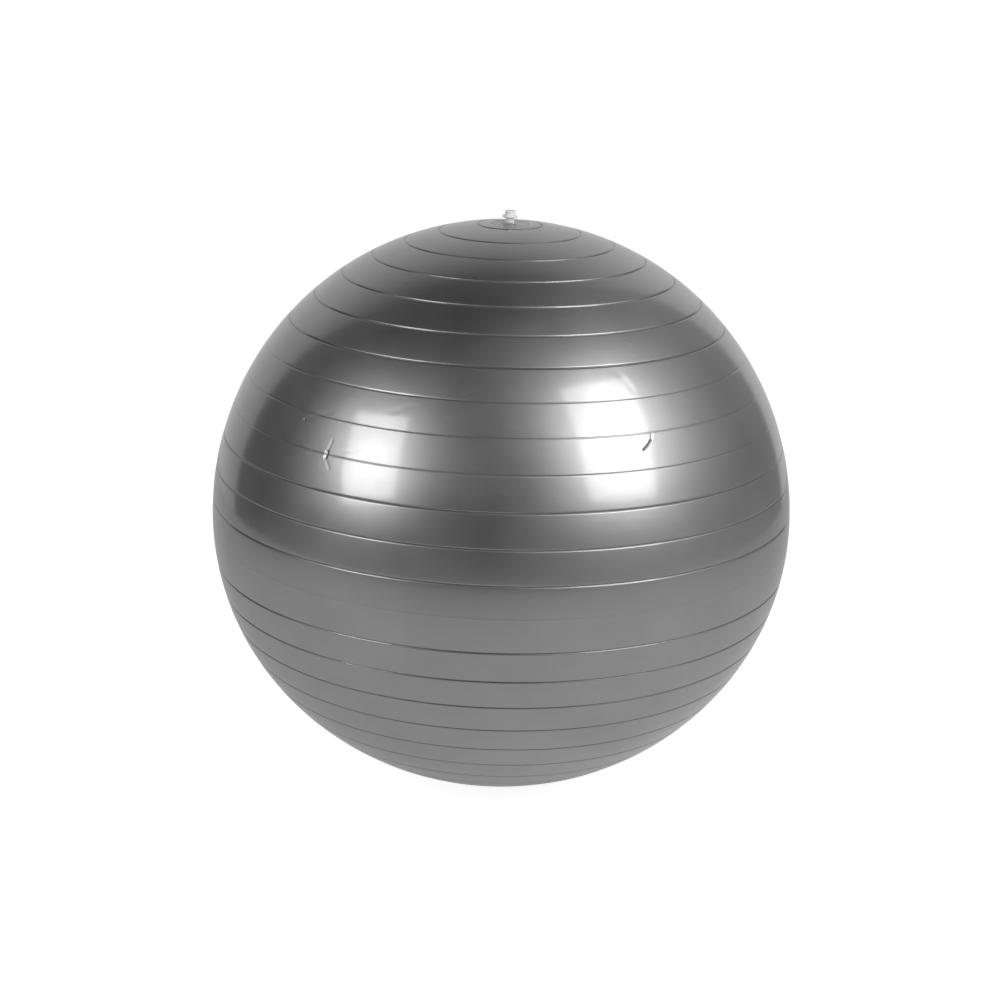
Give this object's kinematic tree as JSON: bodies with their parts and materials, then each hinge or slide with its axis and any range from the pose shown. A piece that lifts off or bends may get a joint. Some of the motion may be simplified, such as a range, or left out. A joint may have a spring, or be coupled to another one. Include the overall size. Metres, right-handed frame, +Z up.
{
  "type": "exercise ball",
  "caption": "Inflatable ringed exercise ball that stands on its pressed flat patch, with a valve seat at the top pole and a pull-out air plug.",
  "frame": {"origin": "centre of the flat patch the ball stands on", "axes": "+Z up the ball's axis, through the valve at the top pole; the ball is round about Z"},
  "size_m": [0.65, 0.65, 0.646],
  "materials": {
    "skin": "glossy silver-grey pearlescent PVC",
    "seat": "smooth grey PVC, the skin's colour",
    "plug": "white moulded plastic, satin"
  },
  "bodies": {
    "ball": {"ball_skin": "skin", "valve_seat": "seat"},
    "plug": {"air_plug": "plug"}
  },
  "joints": [
    {"name": "plug_pull", "type": "slide", "parent": "ball", "child": "plug", "axis": [0, 0, 1], "range_m": [-0.0047, 0.03]}
  ]
}
